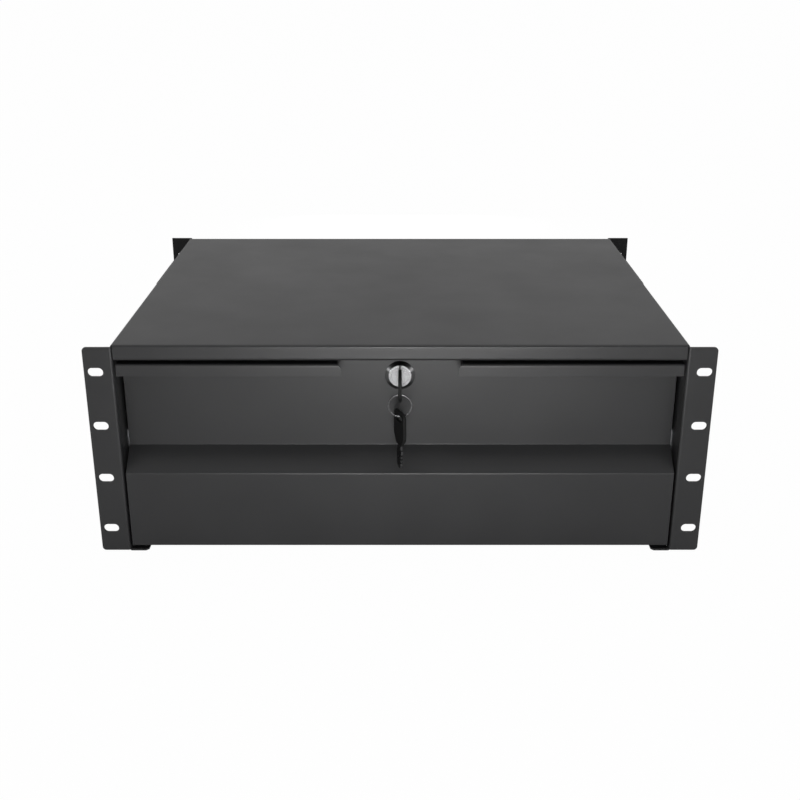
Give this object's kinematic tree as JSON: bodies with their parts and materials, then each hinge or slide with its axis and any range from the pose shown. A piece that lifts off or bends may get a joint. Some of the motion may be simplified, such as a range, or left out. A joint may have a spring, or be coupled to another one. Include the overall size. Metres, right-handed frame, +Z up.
{
  "type": "rack drawer",
  "caption": "Lockable sheet-metal drawer in a rack-mount shell with slotted ears, rear support angles, ball slides, a finger recess and a cam lock with keys.",
  "frame": {"origin": "middle of the front slot pattern, on the rear face of the ears where they meet the rack posts", "axes": "+X to the right seen from the front, +Y back into the rack, +Z up"},
  "size_m": [0.4826, 0.3868, 0.1766],
  "materials": {
    "charcoal_coat": "fine-textured powder coat",
    "black_coat": "satin powder coat",
    "zinc_steel": "bright zinc plated",
    "cage_steel": "stamped steel with ground balls",
    "lock_chrome": "polished",
    "key_steel": "dark nickel plated",
    "key_plastic": "moulded black"
  },
  "bodies": {
    "chassis": {"outer_shell": "charcoal_coat", "rear_panel": "charcoal_coat", "rear_panel_screws": "zinc_steel", "left_rear_bracket": "black_coat", "right_rear_bracket": "black_coat", "bracket_bolts": "zinc_steel", "bracket_clinch_nuts": "zinc_steel", "lock_strike": "zinc_steel", "left_outer_slide": "zinc_steel", "right_outer_slide": "zinc_steel", "outer_slide_screws": "zinc_steel"},
    "drawer": {"drawer_front": "charcoal_coat", "drawer_tray": "charcoal_coat", "front_stud_nuts": "zinc_steel", "front_foot_rivets": "zinc_steel", "left_inner_slide": "zinc_steel", "right_inner_slide": "zinc_steel", "inner_slide_screws": "zinc_steel", "lock_housing": "lock_chrome", "lock_washer": "zinc_steel", "lock_nut": "zinc_steel"},
    "left_middle": {"left_middle_slide": "zinc_steel"},
    "right_middle": {"right_middle_slide": "zinc_steel"},
    "left_outer_cage": {"left_outer_ball_cage": "cage_steel"},
    "right_outer_cage": {"right_outer_ball_cage": "cage_steel"},
    "left_inner_cage": {"left_inner_ball_cage": "cage_steel"},
    "right_inner_cage": {"right_inner_ball_cage": "cage_steel"},
    "plug": {"lock_plug": "lock_chrome", "lock_cam": "zinc_steel", "cam_screw": "zinc_steel"},
    "key": {"key_blade": "key_steel", "key_bow": "key_plastic"},
    "ring": {"split_ring": "key_steel"},
    "spare_key": {"spare_key_blade": "key_steel", "spare_key_bow": "key_plastic"}
  },
  "joints": [
    {"name": "drawer_run", "type": "slide", "parent": "chassis", "child": "drawer", "axis": [0, -1, 0], "range_m": [0, 0.3]},
    {"name": "left_middle_run", "type": "slide", "parent": "chassis", "child": "left_middle", "axis": [0, -1, 0], "range_m": [0, 0.15]},
    {"name": "left_outer_cage_run", "type": "slide", "parent": "chassis", "child": "left_outer_cage", "axis": [0, -1, 0], "range_m": [0, 0.075]},
    {"name": "left_inner_cage_run", "type": "slide", "parent": "chassis", "child": "left_inner_cage", "axis": [0, -1, 0], "range_m": [0, 0.225]},
    {"name": "right_middle_run", "type": "slide", "parent": "chassis", "child": "right_middle", "axis": [0, -1, 0], "range_m": [0, 0.15]},
    {"name": "right_outer_cage_run", "type": "slide", "parent": "chassis", "child": "right_outer_cage", "axis": [0, -1, 0], "range_m": [0, 0.075]},
    {"name": "right_inner_cage_run", "type": "slide", "parent": "chassis", "child": "right_inner_cage", "axis": [0, -1, 0], "range_m": [0, 0.225]},
    {"name": "lock_turn", "type": "hinge", "parent": "drawer", "child": "plug", "pos_m": [0, 0.0185, 0.05722], "axis": [0, 1, 0], "range_deg": [0, 90]},
    {"name": "key_pull", "type": "slide", "parent": "plug", "child": "key", "axis": [0, -1, 0], "range_m": [0, 0.03]},
    {"name": "ring_swing", "type": "hinge", "parent": "key", "child": "ring", "pos_m": [0, -0.0115, 0.05187], "axis": [1, 0, 0], "range_deg": [-40, 12]},
    {"name": "spare_key_hang", "type": "hinge", "parent": "ring", "child": "spare_key", "pos_m": [0, -0.0115, 0.04308], "axis": [0, 1, 0], "range_deg": [-90, 0]}
  ],
  "couplings": [
    {"joint": "left_middle_run", "follows": "drawer_run", "ratio": 0.5},
    {"joint": "left_outer_cage_run", "follows": "drawer_run", "ratio": 0.25},
    {"joint": "left_inner_cage_run", "follows": "drawer_run", "ratio": 0.75},
    {"joint": "right_middle_run", "follows": "drawer_run", "ratio": 0.5},
    {"joint": "right_outer_cage_run", "follows": "drawer_run", "ratio": 0.25},
    {"joint": "right_inner_cage_run", "follows": "drawer_run", "ratio": 0.75},
    {"joint": "spare_key_hang", "follows": "lock_turn", "ratio": -1}
  ]
}
